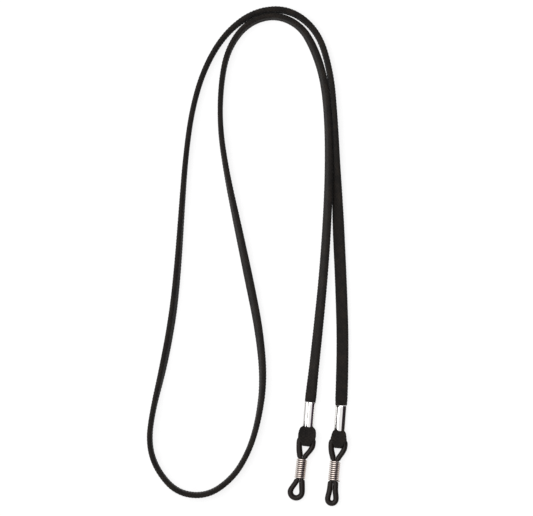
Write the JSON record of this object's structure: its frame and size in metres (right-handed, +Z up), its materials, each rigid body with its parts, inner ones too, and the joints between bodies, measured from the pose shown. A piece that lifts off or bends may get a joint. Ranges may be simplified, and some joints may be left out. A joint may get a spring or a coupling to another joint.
{
  "type": "eyeglass retainer strap",
  "caption": "Neck strap for glasses: a flat braided cord laid in nested loops, with a crimped ferrule, rubber loop and sliding coil at each end to grip a temple arm.",
  "frame": {"origin": "on the table, under the middle of the box round the end fittings (ferrules, folded ends, rubber loops and springs)", "axes": "+Z up from the table, +Y from the rubber loops towards the ferrules and along the strap, +X from the left end fitting to the right one"},
  "size_m": [0.0672, 0.1662, 0.0044],
  "materials": {
    "braid": "matte braided synthetic cord",
    "nickel": "bright nickel plate",
    "rubber": "satin",
    "spring_wire": "bright nickel plate"
  },
  "bodies": {
    "root": {"strap": "braid", "left_strap_end": "braid", "right_strap_end": "braid", "left_ferrule": "nickel", "right_ferrule": "nickel"},
    "left_loop": {"left_rubber_loop": "rubber"},
    "right_loop": {"right_rubber_loop": "rubber"},
    "left_slider": {"left_spring": "spring_wire"},
    "right_slider": {"right_spring": "spring_wire"}
  },
  "joints": [
    {"name": "left_loop_swing", "type": "hinge", "parent": "root", "child": "left_loop", "pos_m": [-0.0043, 0.00505, 0.0022], "axis": [0.993, -0.1184, 0], "range_deg": [-90, 90]},
    {"name": "right_loop_swing", "type": "hinge", "parent": "root", "child": "right_loop", "pos_m": [0.0066, 0.00435, 0.0022], "axis": [0.9952, -0.0976, 0], "range_deg": [-90, 90]},
    {"name": "left_spring_slide", "type": "slide", "parent": "left_loop", "child": "left_slider", "axis": [0.1184, 0.9925, 0.03], "range_m": [-0.0035, 0.0025], "deforming": ["left_rubber_loop"]},
    {"name": "right_spring_slide", "type": "slide", "parent": "right_loop", "child": "right_slider", "axis": [0.0975, 0.9948, 0.03], "range_m": [-0.0035, 0.0025], "deforming": ["right_rubber_loop"]}
  ]
}
